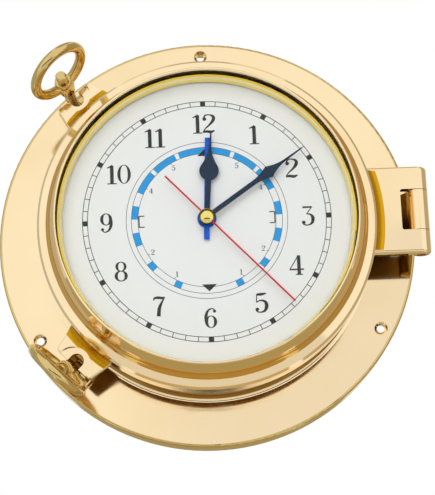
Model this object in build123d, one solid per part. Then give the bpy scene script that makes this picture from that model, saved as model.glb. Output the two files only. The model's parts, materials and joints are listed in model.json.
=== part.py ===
from build123d import *
import os
from math import asin, atan2, cos, hypot, radians, sin

# Brass porthole tide clock.
# It is drawn lying on its back: +X is three o'clock, +Y is twelve o'clock and +Z leaves the wall.
# Each piece is then stood up, so that +Z is up and the dial faces -Y.
# The origin is the middle of the wall plane.  All lengths are millimetres.

# Gaps and overruns that every piece shares
cut_over = 1.0
run_gap = 0.05
seat_gap = 0.3
side_gap = 0.25

# Dial and the cup that lifts it; the dial's radius sets the size of all that goes round it
cup_radius = 73.3
cup_wall = 1.2
cup_foot_thickness = 2.5
cup_foot_width = 5.4
cup_lip_thickness = 1.0
cup_lip_width = 3.6
cup_screw_count = 3
cup_screw_start_angle = 30.0
dial_rise = 14.5
dial_thickness = 0.8
dial_track_margin = 13.4

# Base flange, a round pan that is open at the back
flange_height = 15.5
flange_wall = 3.0
flange_edge_round = 1.2
flange_rim_edge = 1.6
flange_margin = 3.5
wall_screw_count = 3
wall_screw_inset = 7.0
wall_screw_hole_radius = 2.0
wall_screw_sink_radius = 3.3
wall_screw_sink_depth = 1.3

# Collar of the base, with a ledge for the dial cup
collar_cup_gap = 2.7
collar_wall = 4.0
collar_rise = 24.0
collar_root_round = 3.0
ledge_margin = 0.9
ledge_thickness = 4.0

# Small screws that hold the cup and the brackets from behind
screw_radius = 1.25
screw_head_radius = 2.4
screw_head_height = 1.8
screw_head_round = 0.8
screw_bite = 5.0
cup_screw_bite = 2.0
screw_slot_width = 0.7
screw_slot_depth = 0.8

# Battery and the quartz movement round it, behind the dial
battery_radius = 7.1
battery_length = 49.0
battery_nub_radius = 2.7
battery_nub_length = 1.5
battery_edge_round = 0.6
battery_bay_margin = 2.5
battery_bay_floor = 1.2
battery_bay_wall = 3.65
contact_thickness = 0.5
contact_width = 9.0
contact_height = 11.0
movement_height = 64.0
movement_drop = 4.0
movement_round = 4.0
movement_edge_chamfer = 0.8
movement_cover_thickness = 1.2
movement_cover_inset = 2.0
washer_radius = 9.0
washer_thickness = 0.8
bushing_wall = 0.8
dial_nut_wall = 0.6
dial_nut_thickness = 1.0
dial_nut_slot_width = 1.0
dial_nut_slot_depth = 0.5
knob_radius = 6.0
knob_thickness = 3.0
knob_shaft_radius = 1.5
knob_shaft_depth = 6.0
knob_side_offset = 15.0
knob_up_offset = 12.0
knob_flute_count = 12
knob_flute_radius = 0.9

# Nested arbors of the four hands, from the inside out
second_shaft_radius = 0.7
minute_arbor_wall = 0.85
hour_tube_wall = 0.8
tide_tube_wall = 0.65
arbor_depth = 5.0
arbor_step = 1.0

# Hands, from the dial outwards
first_hand_gap = 0.4
hand_spacing = 1.5
hand_thickness = 0.6
second_hand_thickness = 0.4
tide_hand_reach = 40.7
tide_hand_tail = 10.4
tide_hand_width = 2.7
tide_hub_wall = 1.6
hour_hand_reach = 43.5
hour_hand_stem_width = 2.5
hour_hand_tip_width = 1.3
hour_hand_bulb_drop = 20.0
hour_hand_bulb_width = 9.4
hour_hub_wall = 1.15
minute_hand_short = 2.3
minute_hand_stem_width = 2.3
minute_hand_tip_width = 1.1
minute_hand_leaf_drop = 20.1
minute_hand_leaf_width = 6.2
minute_hub_wall = 1.75
second_hand_short = 1.2
second_hand_tail = 28.4
second_hand_width = 0.8
second_hub_wall = 1.7
cap_radius = 3.9
cap_height = 1.6
cap_glass_gap = 0.6
tide_hand_angle = 2.6
hour_hand_angle = 4.6
minute_hand_angle = 55.1
second_hand_angle = 136.8

# Bezel, the hinged ring that carries the glass
bezel_overhang = 2.2
bezel_wall_height = 12.2
bezel_shoulder_chamfer = 1.1
bezel_face_width = 4.4
bezel_face_rise = 1.4
bezel_cove_width = 2.3
bezel_cove_rise = 4.6
bezel_cove_depth = 0.4
bezel_cone_width = 2.6
bezel_lip_thickness = 3.1
bezel_lip_hold = 0.6
bezel_lip_round = 0.6
bezel_cup_gap = 1.6
bezel_sleeve_drop = 0.2
glass_cup_step = 0.8
glass_thickness = 1.8
glass_side_gap = 0.25
gasket_thickness = 0.5
gasket_show = 0.3
sleeve_wall = 1.6
sleeve_foot_wall = 3.0
sleeve_dial_gap = 1.5

# Lugs brazed to the bezel, and the bezel's hinge plate
lug_lift = 0.2
lug_thickness = 5.0
lug_root_width = 26.0
lug_tip_width = 21.5
lug_corner_round = 1.5
lug_edge_round = 0.5
lug_cove_radius = 5.0
lug_pocket_radius = 8.5
lug_pocket_depth = 1.6
lug_slot_gap = 0.9
lug_slot_extra = 2.5
lug_braze_gap = 0.02
hinge_inset = 1.0
hinge_lift = 4.0
hinge_plate_width = 44.0
hinge_knuckle_radius = 5.0
hinge_end_round = 2.0
hinge_middle_length = 20.0
hinge_notch_depth = 4.0
hinge_notch_round = 1.0
hinge_pin_radius = 2.0
hinge_pin_inset = 0.5
hinge_pin_dome = 0.6
hinge_foot_gap = 4.3
hinge_foot_setback = 3.0
hinge_screw_inset = 4.5

# Dogs, the swing bolts with ring nuts that clamp the lugs
upper_dog_angle = 133.0
lower_dog_angle = 225.0
dog_lug_clearance = 0.4
eye_radius = 4.6
eye_width = 6.0
eye_floor_gap = 0.9
bolt_radius = 2.6
bolt_overrun = 15.2
bolt_end_chamfer = 0.5
dog_pin_radius = 1.5
dog_pin_head_radius = 2.3
dog_pin_head_height = 0.9
bracket_collar_gap = 1.5
bracket_cheek = 3.5
bracket_rim = 0.9
bracket_inner_reach = 9.5
bracket_outer_reach = 7.5
bracket_web_height = 6.5
bracket_web_gap = 0.6
bracket_screw_spread = 8.4
hub_wall = 1.5
hub_height = 9.9
hub_collar_wall = 0.7
hub_collar_rise = 4.2
hub_collar_height = 3.0
hub_edge_round = 0.5
ring_radius = 14.3
ring_tube_radius = 2.55
ring_rise = 5.4

# Radii that follow from the sizes above, from the axis outwards
second_bore = second_shaft_radius + run_gap
minute_arbor_radius = second_shaft_radius + minute_arbor_wall
minute_bore = minute_arbor_radius + run_gap
hour_tube_radius = minute_arbor_radius + hour_tube_wall
hour_bore = hour_tube_radius + run_gap
tide_tube_radius = hour_tube_radius + tide_tube_wall
tide_bore = tide_tube_radius + run_gap
bushing_radius = tide_tube_radius + bushing_wall
dial_nut_radius = bushing_radius + dial_nut_wall
dial_track_radius = cup_radius - dial_track_margin
minute_hand_reach = dial_track_radius - minute_hand_short
second_hand_reach = dial_track_radius - second_hand_short
ledge_inner_radius = cup_radius - cup_foot_width - ledge_margin
cup_screw_circle_radius = cup_radius - cup_foot_width / 2
cup_inner_radius = cup_radius - cup_wall
glass_radius = cup_radius - glass_cup_step
glass_seat_radius = glass_radius + glass_side_gap
bezel_lip_inner_radius = glass_radius - bezel_lip_hold
bezel_bore_radius = cup_radius + bezel_cup_gap
collar_inner_radius = cup_radius + collar_cup_gap
collar_radius = collar_inner_radius + collar_wall
bezel_radius = collar_radius + bezel_overhang
bezel_face_inner_radius = bezel_radius - bezel_face_width
bezel_cone_radius = bezel_face_inner_radius - bezel_cove_width
bezel_lip_outer_radius = bezel_cone_radius - bezel_cone_width
bracket_inner = collar_radius + collar_root_round + bracket_collar_gap
dog_radius = bracket_inner + bracket_inner_reach
flange_radius = dog_radius + bracket_outer_reach + flange_margin
wall_screw_circle_radius = flange_radius - wall_screw_inset
lug_slot_half = bolt_radius + lug_slot_gap
hub_radius = bolt_radius + hub_wall
hub_collar_radius = hub_radius + hub_collar_wall
hinge_offset = flange_radius - hinge_inset
hinge_notch_offset = hinge_offset - hinge_knuckle_radius - hinge_notch_depth
hinge_foot_inner = bezel_radius + hinge_foot_gap
hinge_foot_outer = hinge_offset - hinge_foot_setback
bracket_top_radius = eye_radius + bracket_rim
bracket_half = eye_width / 2 + side_gap + bracket_cheek
bracket_web_outer = dog_radius - eye_radius - bracket_web_gap
bracket_screw_radius = (bracket_inner + bracket_web_outer) / 2

# Levels that follow, from the wall outwards
flange_plate_back = flange_height - flange_wall
dog_pivot_height = flange_height + eye_radius + eye_floor_gap
collar_top = flange_height + collar_rise
ledge_back = collar_top - ledge_thickness
dial_front = collar_top + dial_rise
dial_back = dial_front - dial_thickness
battery_bay_length = battery_length + battery_nub_length + 2 * contact_thickness + 4 * seat_gap
movement_width = battery_bay_length + 2 * battery_bay_wall
movement_depth = 2 * battery_radius + 2 * seat_gap + battery_bay_floor
movement_front = dial_back - washer_thickness
movement_back = movement_front - movement_depth
bushing_top = dial_front + dial_nut_thickness
tide_hand_level = bushing_top + first_hand_gap
hour_hand_level = tide_hand_level + hand_spacing
minute_hand_level = hour_hand_level + hand_spacing
second_hand_level = minute_hand_level + hand_spacing
cap_bottom = second_hand_level + second_hand_thickness
glass_back = cap_bottom + cap_height + cap_glass_gap
glass_front = glass_back + glass_thickness
lip_back = glass_front + gasket_thickness
bezel_lip_front = lip_back + bezel_lip_thickness
sleeve_back = dial_front + sleeve_dial_gap
bezel_back = collar_top + seat_gap
bezel_shoulder = bezel_back + bezel_wall_height
lug_bottom = bezel_back + lug_lift
lug_top = lug_bottom + lug_thickness
lug_pocket_floor = lug_top - lug_pocket_depth
hinge_height = lug_top - hinge_knuckle_radius

# Places along a dog, measured from its pivot; the nut is backed off until it clears the lug's pocket
nut_seat = lug_top + seat_gap - dog_pivot_height
bolt_length = nut_seat + bolt_overrun
ring_offset = ring_radius + ring_rise

# At rest each dog leans out until the foot of its nut clears the edge of the lug
nut_corner = hypot(nut_seat, hub_radius)
nut_corner_angle = atan2(hub_radius, nut_seat)
dog_lean = nut_corner_angle + asin(dog_lug_clearance / nut_corner)
dog_angles = {"upper": upper_dog_angle, "lower": lower_dog_angle}
half_turn = 180.0
quarter_turn = 90.0


def write(node, *solids):
    """Stand a piece up against the wall and write its STEP file."""
    standing = [Rot(X=quarter_turn) * solid for solid in solids]
    shape = standing[0] if len(standing) == 1 else Compound(children=standing)
    shape.label = node
    export_step(shape, f"parts/{node}.step")


def turned(points, radii=0):
    """A solid of revolution about Z from an outline of (radius, height) corners."""
    outline = FilletPolyline(*points, radius=radii, close=True)
    return revolve(Plane.XZ * make_face(outline), axis=Axis.Z)


def rod(radius, bottom, top, at=(0, 0)):
    """An upright round rod between two levels."""
    return Pos(at[0], at[1], bottom) * extrude(Circle(radius), amount=top - bottom)


def tube(radius, bore, bottom, top):
    """An upright tube between two levels."""
    return rod(radius, bottom, top) - rod(bore, bottom - cut_over, top + cut_over)


def slab(width, height, bottom, top, at=(0, 0), round_radius=0):
    """An upright block between two levels, with round corners if asked."""
    outline = RectangleRounded(width, height, round_radius) if round_radius else Rectangle(width, height)
    return Pos(at[0], at[1], bottom) * extrude(outline, amount=top - bottom)


def at_angle(radius, angle):
    """The point at a radius and an angle about the clock's axis."""
    return (radius * cos(radians(angle)), radius * sin(radians(angle)))


def spaced(count, start):
    """Even angles round the clock."""
    return [start + 2 * half_turn * i / count for i in range(count)]


def bracket_screw_places():
    """Where the screws that hold the three brackets come through the flange plate."""
    places = []
    for angle in dog_angles.values():
        for side in (-1, 1):
            along = Vector(bracket_screw_radius, side * bracket_screw_spread / 2, 0)
            spot = along.rotate(Axis.Z, angle)
            places.append((spot.X, spot.Y))
    for offset in (hinge_foot_inner + hinge_screw_inset, hinge_foot_outer - hinge_screw_inset):
        places.append((offset, hinge_lift))
    return places


def cup_screw_places():
    """Where the screws that hold the dial cup come through the ledge."""
    return [at_angle(cup_screw_circle_radius, a) for a in spaced(cup_screw_count, cup_screw_start_angle)]


def base_flange():
    """The casting: pan, collar and ledge in one turned outline, with countersunk wall screw holes."""
    outline = [
        (flange_radius, 0),
        (flange_radius, flange_height),
        (collar_radius, flange_height),
        (collar_radius, collar_top),
        (ledge_inner_radius, collar_top),
        (ledge_inner_radius, ledge_back),
        (collar_inner_radius, ledge_back),
        (collar_inner_radius, flange_plate_back),
        (flange_radius - flange_wall, flange_plate_back),
        (flange_radius - flange_rim_edge, 0),
    ]
    rounds = [0, flange_edge_round, collar_root_round, 0, 0, 0, 0, 0, 0, 0]
    body = turned(outline, rounds)
    sink_level = flange_height - wall_screw_sink_depth
    sink = turned([
        (0, flange_plate_back - cut_over),
        (wall_screw_hole_radius, flange_plate_back - cut_over),
        (wall_screw_hole_radius, sink_level),
        (wall_screw_sink_radius, flange_height),
        (wall_screw_sink_radius, flange_height + cut_over),
        (0, flange_height + cut_over),
    ])
    for angle in spaced(wall_screw_count, quarter_turn):
        x, y = at_angle(wall_screw_circle_radius, angle)
        body -= Pos(x, y, 0) * sink
    for place in bracket_screw_places():
        body -= rod(screw_radius + run_gap, flange_plate_back - cut_over, flange_height + cut_over, place)
    for place in cup_screw_places():
        body -= rod(screw_radius + run_gap, ledge_back - cut_over, collar_top + cut_over, place)
    return body


def pan_screw(seat, tip, at):
    """A slotted pan-head screw whose head lies under a seat and whose tip points out of the wall."""
    head = turned([
        (0, seat - screw_head_height),
        (screw_head_radius, seat - screw_head_height),
        (screw_head_radius, seat),
        (screw_radius, seat),
        (screw_radius, tip),
        (0, tip),
    ], [0, screw_head_round, 0, 0, 0, 0])
    slot_level = seat - screw_head_height
    slot = slab(2 * screw_head_radius, screw_slot_width, slot_level - cut_over, slot_level + screw_slot_depth)
    return Pos(at[0], at[1], 0) * (head - slot)


def dial_cup():
    """The spun cup that lifts the dial: foot, wall and inner lip, open behind."""
    body = turned([
        (cup_radius - cup_foot_width, collar_top),
        (cup_radius, collar_top),
        (cup_radius, dial_back),
        (cup_radius - cup_lip_width, dial_back),
        (cup_radius - cup_lip_width, dial_back - cup_lip_thickness),
        (cup_inner_radius, dial_back - cup_lip_thickness),
        (cup_inner_radius, collar_top + cup_foot_thickness),
        (cup_radius - cup_foot_width, collar_top + cup_foot_thickness),
    ])
    hole_top = collar_top + cup_screw_bite + run_gap
    for place in cup_screw_places():
        body -= rod(screw_radius + run_gap, collar_top - cut_over, hole_top, place)
    return body


def battery_place():
    """Middle of the battery: across the foot of the movement, near its back."""
    low_edge = -movement_height / 2 - movement_drop
    across = low_edge + battery_bay_margin + battery_radius + seat_gap
    return across, movement_back + battery_radius + seat_gap


def battery_bay():
    """The open slot in the back of the movement that the battery drops into."""
    across, _ = battery_place()
    width = 2 * (battery_radius + seat_gap)
    top = movement_front - battery_bay_floor
    return slab(battery_bay_length, width, movement_back - cut_over, top, (0, across))


def knob_place():
    """Where the setting knob stands on the back of the movement."""
    return (-knob_side_offset, knob_up_offset)


def movement_case():
    """The sealed quartz case with its front bushing, battery bay and bores."""
    middle = (0, -movement_drop)
    body = slab(movement_width, movement_height, movement_back, movement_front, middle, movement_round)
    body = chamfer(body.faces().sort_by(Axis.Z)[-1].edges(), movement_edge_chamfer)
    body += rod(bushing_radius, movement_front - cut_over, bushing_top)
    arbor_floor = movement_front - arbor_depth - 4 * arbor_step
    body -= rod(tide_bore, arbor_floor, bushing_top + cut_over)
    body -= battery_bay()
    knob_hole_top = movement_back + knob_shaft_depth + seat_gap
    return body - rod(knob_shaft_radius + run_gap, movement_back - cut_over, knob_hole_top, knob_place())


def movement_cover():
    """The flat lid clipped over the wheel side of the case, above the battery bay."""
    across, _ = battery_place()
    bay_edge = across + battery_radius + seat_gap
    top_edge = movement_height / 2 - movement_drop - movement_cover_inset
    low_edge = bay_edge + movement_cover_inset
    middle = (top_edge + low_edge) / 2
    lid = slab(
        movement_width - 2 * movement_cover_inset,
        top_edge - low_edge,
        movement_back - movement_cover_thickness,
        movement_back,
        (0, middle),
        movement_cover_inset,
    )
    lid_back = movement_back - movement_cover_thickness
    hole_radius = knob_shaft_radius + side_gap
    return lid - rod(hole_radius, lid_back - cut_over, movement_back + cut_over, knob_place())


def battery():
    """An AA cell lying across the clock, nub to the right."""
    across, level = battery_place()
    start = -(battery_length + battery_nub_length) / 2
    cell = turned([
        (0, 0),
        (battery_radius, 0),
        (battery_radius, battery_length),
        (battery_nub_radius, battery_length),
        (battery_nub_radius, battery_length + battery_nub_length),
        (0, battery_length + battery_nub_length),
    ], [0, battery_edge_round, battery_edge_round, 0, battery_edge_round, 0])
    return Pos(start, across, level) * Rot(Y=quarter_turn) * cell


def battery_contacts():
    """The two leaf contacts at the ends of the bay."""
    across, level = battery_place()
    reach = (battery_length + battery_nub_length + contact_thickness) / 2 + seat_gap
    leaf = Box(contact_thickness, contact_width, contact_height)
    return [Pos(side * reach, across, level) * leaf for side in (-1, 1)]


def set_knob():
    """The fluted time-setting knob with its shaft."""
    top = movement_back - movement_cover_thickness - seat_gap
    body = rod(knob_radius, top - knob_thickness, top)
    for angle in spaced(knob_flute_count, 0):
        flute = at_angle(knob_radius, angle)
        body -= rod(knob_flute_radius, top - knob_thickness - cut_over, top + cut_over, flute)
    body += rod(knob_shaft_radius, top - knob_thickness, movement_back + knob_shaft_depth)
    x, y = knob_place()
    return Pos(x, y, 0) * body


def dial_nut():
    """The round slotted nut that draws the movement up to the dial."""
    body = tube(dial_nut_radius, bushing_radius + run_gap, dial_front, bushing_top)
    slot_floor = bushing_top - dial_nut_slot_depth
    cross = slab(2 * dial_nut_radius + cut_over, dial_nut_slot_width, slot_floor, bushing_top + cut_over)
    return body - cross


def hand(outline, hub, bore, level, thickness, angle):
    """A flat hand: its outline and a round hub on a bore, turned clockwise from twelve."""
    flat = outline + Circle(hub) - Circle(bore)
    return Pos(0, 0, level) * Rot(Z=-angle) * extrude(flat, amount=thickness)


def strip(width, tail, reach):
    """A straight bar along +Y from a tail to a tip."""
    return Pos(0, (reach - tail) / 2) * Rectangle(width, reach + tail)


def mirrored_outline(right_edges):
    """A face closed by mirroring its right-hand edges across the hand's own line."""
    return make_face([*right_edges, *mirror(Curve() + right_edges, about=Plane.YZ).edges()])


# Heights along a bulb or leaf, as shares of its half width, measured from its widest place
bulb_foot_share = -0.98
bulb_side_share = 0.62
bulb_side_width_share = 0.8
bulb_neck_share = 2.25
bulb_hollow_share = 1.35
bulb_hollow_width_share = 0.42
leaf_foot_share = -3.3
leaf_hollow_share = -1.5
leaf_hollow_width_share = 0.52
leaf_neck_share = 2.9
leaf_upper_share = 1.3
leaf_upper_width_share = 0.46


def hour_outline():
    """A spade hand: plain stem, round-bottomed drop with hollow shoulders, and a narrow tip."""
    stem = hour_hand_stem_width / 2
    tip = hour_hand_tip_width / 2
    bulb = hour_hand_bulb_width / 2
    middle = hour_hand_reach - hour_hand_bulb_drop
    foot = (stem, middle + bulb_foot_share * bulb)
    side = (bulb_side_width_share * bulb, middle + bulb_side_share * bulb)
    hollow = (bulb_hollow_width_share * bulb, middle + bulb_hollow_share * bulb)
    neck = (tip, middle + bulb_neck_share * bulb)
    edges = [
        Line((0, 0), (stem, 0)),
        Line((stem, 0), foot),
        ThreePointArc(foot, (bulb, middle), side),
        ThreePointArc(side, hollow, neck),
        Line(neck, (tip / 2, hour_hand_reach)),
        Line((tip / 2, hour_hand_reach), (0, hour_hand_reach)),
    ]
    return mirrored_outline(edges)


def minute_outline():
    """A lance hand: long stem, a leaf with hollow flanks, and a narrow tip."""
    stem = minute_hand_stem_width / 2
    tip = minute_hand_tip_width / 2
    leaf = minute_hand_leaf_width / 2
    middle = minute_hand_reach - minute_hand_leaf_drop
    foot = (stem, middle + leaf_foot_share * leaf)
    lower = (leaf_hollow_width_share * leaf, middle + leaf_hollow_share * leaf)
    wide = (leaf, middle)
    upper = (leaf_upper_width_share * leaf, middle + leaf_upper_share * leaf)
    neck = (tip, middle + leaf_neck_share * leaf)
    edges = [
        Line((0, 0), (stem, 0)),
        Line((stem, 0), foot),
        ThreePointArc(foot, lower, wide),
        ThreePointArc(wide, upper, neck),
        Line(neck, (tip / 2, minute_hand_reach)),
        Line((tip / 2, minute_hand_reach), (0, minute_hand_reach)),
    ]
    return mirrored_outline(edges)


def hand_cap():
    """The domed cap pressed over the second hand's hub."""
    dome_radius = (cap_radius**2 + cap_height**2) / (2 * cap_height)
    half_angle = asin(cap_radius / dome_radius)
    crown_drop = dome_radius * (1 - cos(half_angle / 2))
    crown = (dome_radius * sin(half_angle / 2), cap_bottom + cap_height - crown_drop)
    outline = [
        Line((0, cap_bottom), (cap_radius, cap_bottom)),
        ThreePointArc((cap_radius, cap_bottom), crown, (0, cap_bottom + cap_height)),
        Line((0, cap_bottom + cap_height), (0, cap_bottom)),
    ]
    return revolve(Plane.XZ * make_face(outline), axis=Axis.Z)


def bezel_ring():
    """The turned ring: outer wall, sloping face, hollow cove, steep cone up to the lip, stepped bore."""
    face_level = bezel_shoulder + bezel_face_rise
    cove_top = face_level + bezel_cove_rise
    cove_middle = (
        (bezel_face_inner_radius + bezel_cone_radius) / 2 - bezel_cove_depth,
        (face_level + cove_top) / 2 - bezel_cove_depth,
    )
    crown_start = (bezel_lip_outer_radius, bezel_lip_front - bezel_lip_round)
    crown_end = (bezel_lip_outer_radius - bezel_lip_round, bezel_lip_front)
    step = sleeve_back - bezel_sleeve_drop
    walls = Polyline(
        crown_end,
        (bezel_lip_inner_radius, bezel_lip_front),
        (bezel_lip_inner_radius, lip_back),
        (glass_seat_radius, lip_back),
        (glass_seat_radius, step),
        (bezel_bore_radius, step),
        (bezel_bore_radius, bezel_back),
        (bezel_radius, bezel_back),
        (bezel_radius, bezel_shoulder - bezel_shoulder_chamfer),
        (bezel_radius - bezel_shoulder_chamfer, bezel_shoulder),
        (bezel_face_inner_radius, face_level),
    )
    cove = ThreePointArc((bezel_face_inner_radius, face_level), cove_middle, (bezel_cone_radius, cove_top))
    cone = Line((bezel_cone_radius, cove_top), crown_start)
    crown = RadiusArc(crown_start, crown_end, -bezel_lip_round)
    return revolve(Plane.XZ * make_face([*walls.edges(), cove, cone, crown]), axis=Axis.Z)


def cove_band(window):
    """The hollow fillet between the bezel's wall and a plate's top, kept inside the plate's outline."""
    root = bezel_radius - bezel_shoulder_chamfer
    corner = bezel_radius + lug_cove_radius
    outline = [
        Line((root, lug_top), (corner, lug_top)),
        RadiusArc((corner, lug_top), (bezel_radius, lug_top + lug_cove_radius), lug_cove_radius),
        Line((bezel_radius, lug_top + lug_cove_radius), (root, lug_top + lug_cove_radius)),
        Line((root, lug_top + lug_cove_radius), (root, lug_top)),
    ]
    return revolve(Plane.XZ * make_face(outline), axis=Axis.Z) & window


def clamp_lug():
    """One lug at zero angle: a tapered plate with a pocket for the nut and an open slot for the bolt."""
    root = bezel_radius - lug_cove_radius
    half_root = lug_root_width / 2
    half_tip = lug_tip_width / 2
    corners = [
        (root, -half_root),
        (bezel_radius, -half_root),
        (dog_radius, -half_tip),
        (dog_radius, half_tip),
        (bezel_radius, half_root),
        (root, half_root),
    ]
    rounds = [0, 0, lug_corner_round, lug_corner_round, 0, 0]
    plan = make_face(FilletPolyline(*corners, radius=rounds, close=True))
    plate = Pos(0, 0, lug_bottom) * extrude(plan, amount=lug_thickness)
    rim = plate.faces().sort_by(Axis.Z)[-1].edges().filter_by(lambda e: e.center().X > bezel_radius)
    window = Pos(0, 0, lug_top) * extrude(plan, amount=lug_cove_radius)
    plate = fillet(rim, lug_edge_round) + cove_band(window)
    pocket = rod(lug_pocket_radius, lug_pocket_floor, lug_top + cut_over, (dog_radius, 0))
    slot_end = dog_radius - lug_slot_extra
    slot = rod(lug_slot_half, lug_bottom - cut_over, lug_top + cut_over, (slot_end, 0))
    slot_run = dog_radius + cut_over - slot_end
    slot += slab(
        slot_run, 2 * lug_slot_half, lug_bottom - cut_over, lug_top + cut_over, (slot_end + slot_run / 2, 0)
    )
    seat = rod(bezel_radius + lug_braze_gap, lug_bottom - cut_over, lug_top + lug_cove_radius + cut_over)
    return plate - pocket - slot - seat


def hinge_leaf():
    """The bezel's half of the hinge: a plate with a notch between two knuckles, bored for the pin."""
    root = bezel_bore_radius + bezel_cup_gap
    plate_run = hinge_offset - root
    leaf = slab(plate_run, hinge_plate_width, lug_bottom, lug_top, (root + plate_run / 2, 0))
    long_edges = leaf.faces().sort_by(Axis.Z)[-1].edges().filter_by(Axis.X)
    leaf = fillet(long_edges, hinge_end_round)
    half = hinge_plate_width / 2
    barrel = turned([
        (0, -half),
        (hinge_knuckle_radius, -half),
        (hinge_knuckle_radius, half),
        (0, half),
    ], [0, hinge_end_round, hinge_end_round, 0])
    across = Pos(hinge_offset, 0, hinge_height) * Rot(X=quarter_turn)
    leaf += across * barrel
    notch_run = hinge_offset + hinge_knuckle_radius + cut_over - hinge_notch_offset
    notch_width = hinge_middle_length + 2 * side_gap
    notch_low = hinge_height - hinge_knuckle_radius - cut_over
    notch_middle = (hinge_notch_offset + notch_run / 2, 0)
    leaf -= slab(notch_run, notch_width, notch_low, lug_top + cut_over, notch_middle, hinge_notch_round)
    bore = extrude(Circle(hinge_pin_radius + run_gap), amount=half + cut_over, both=True)
    leaf -= across * bore
    cove_width = hinge_plate_width - 2 * hinge_end_round
    middle = (root + plate_run / 2, hinge_lift)
    window = slab(plate_run, cove_width, lug_top, lug_top + lug_cove_radius, middle)
    return Pos(0, hinge_lift, 0) * leaf + cove_band(window)


def bezel():
    """The door casting: ring and hinge leaf."""
    return bezel_ring() + hinge_leaf()


def bracket_screw_hole(at):
    """The blind hole in the foot of a bracket for one of its screws."""
    return rod(screw_radius + run_gap, flange_height - cut_over, flange_height + screw_bite + run_gap, at)


def hinge_bracket():
    """The base's half of the hinge: a leaning post with the middle knuckle."""
    profile = Polyline(
        (hinge_foot_inner, flange_height),
        (hinge_foot_outer, flange_height),
        (hinge_offset + hinge_knuckle_radius, hinge_height),
        (hinge_offset - hinge_knuckle_radius, hinge_height),
        close=True,
    )
    side = make_face(profile) + Pos(hinge_offset, hinge_height) * Circle(hinge_knuckle_radius)
    side -= Pos(hinge_offset, hinge_height) * Circle(hinge_pin_radius + run_gap)
    body = extrude(Plane.XZ * side, amount=hinge_middle_length / 2, both=True)
    for offset in (hinge_foot_inner + hinge_screw_inset, hinge_foot_outer - hinge_screw_inset):
        body -= bracket_screw_hole((offset, 0))
    return Pos(0, hinge_lift, 0) * body


def hinge_pin():
    """The upright pin through all three knuckles, with domed ends."""
    half = hinge_plate_width / 2 - hinge_pin_inset
    pin = turned([
        (0, -half),
        (hinge_pin_radius, -half),
        (hinge_pin_radius, half),
        (0, half),
    ], [0, hinge_pin_dome, hinge_pin_dome, 0])
    return Pos(hinge_offset, hinge_lift, hinge_height) * Rot(X=quarter_turn) * pin


def on_dog(shape, angle):
    """Carry a piece drawn about the dog's pivot, bolt upright, to its place at rest."""
    lean = dog_lean * half_turn / radians(half_turn)
    return Rot(Z=angle) * Pos(dog_radius, 0, dog_pivot_height) * Rot(Y=lean) * shape


def dog_bracket(angle):
    """A fork on the flange: two round-topped cheeks joined by a web on the inner side."""
    foot = flange_height - dog_pivot_height
    cheek_side = make_face(Polyline(
        (-bracket_inner_reach, foot),
        (bracket_outer_reach, foot),
        (bracket_top_radius, 0),
        (-bracket_top_radius, 0),
        (-bracket_inner_reach, foot + bracket_web_height),
        close=True,
    )) + Circle(bracket_top_radius)
    cheek_side -= Circle(dog_pin_radius + run_gap)
    both_cheeks = extrude(Plane.XZ * cheek_side, amount=bracket_half, both=True)
    fork_run = bracket_inner_reach + bracket_outer_reach + bracket_top_radius
    fork_width = eye_width + 2 * side_gap
    web_edge = bracket_web_outer - dog_radius
    fork = slab(
        fork_run, fork_width, foot - cut_over, bracket_top_radius + cut_over, (web_edge + fork_run / 2, 0)
    )
    trim_run = bracket_inner_reach + web_edge
    trim = slab(
        trim_run, fork_width, foot + bracket_web_height, bracket_top_radius + cut_over,
        (web_edge - trim_run / 2, 0),
    )
    body = Pos(dog_radius, 0, dog_pivot_height) * (both_cheeks - fork - trim)
    for side in (-1, 1):
        body -= bracket_screw_hole((bracket_screw_radius, side * bracket_screw_spread / 2))
    return Rot(Z=angle) * body


def dog_pin(angle):
    """The pivot pin with a flat head at each end."""
    half = bracket_half
    pin = turned([
        (0, -half - dog_pin_head_height),
        (dog_pin_head_radius, -half - dog_pin_head_height),
        (dog_pin_head_radius, -half),
        (dog_pin_radius, -half),
        (dog_pin_radius, half),
        (dog_pin_head_radius, half),
        (dog_pin_head_radius, half + dog_pin_head_height),
        (0, half + dog_pin_head_height),
    ])
    return Rot(Z=angle) * Pos(dog_radius, 0, dog_pivot_height) * Rot(X=quarter_turn) * pin


def swing_bolt(angle):
    """An eye bolt: flat-sided eye on the pivot pin and a round shank."""
    eye = extrude(Plane.XZ * Circle(eye_radius), amount=eye_width / 2, both=True)
    shank = turned([
        (0, 0),
        (bolt_radius, 0),
        (bolt_radius, bolt_length - bolt_end_chamfer),
        (bolt_radius - bolt_end_chamfer, bolt_length),
        (0, bolt_length),
    ])
    pin_hole = extrude(Plane.XZ * Circle(dog_pin_radius + run_gap), amount=eye_width, both=True)
    return on_dog(eye + shank - pin_hole, angle)


def ring_nut(angle):
    """A collared hub bored for the bolt, with a round ring rising from it as the handle."""
    collar_low = nut_seat + hub_collar_rise
    collar_high = collar_low + hub_collar_height
    hub_top = nut_seat + hub_height
    bore = bolt_radius + run_gap
    hub = turned([
        (0, nut_seat),
        (hub_radius, nut_seat),
        (hub_radius, collar_low),
        (hub_collar_radius, collar_low),
        (hub_collar_radius, collar_high),
        (hub_radius, collar_high),
        (hub_radius, hub_top),
        (0, hub_top),
    ], [0, 0, 0, hub_edge_round, hub_edge_round, 0, hub_edge_round, 0])
    ring = Pos(0, 0, nut_seat + ring_offset) * Rot(Y=quarter_turn) * Torus(ring_radius, ring_tube_radius)
    return on_dog(hub + ring - rod(bore, nut_seat - cut_over, bolt_length + cut_over), angle)


def arbor(radius, bore, steps, top):
    """One of the nested tubes that the hands are pressed on."""
    bottom = movement_front - arbor_depth - steps * arbor_step
    return tube(radius, bore, bottom, top) if bore else rod(radius, bottom, top)


os.makedirs("parts", exist_ok=True)

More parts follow.
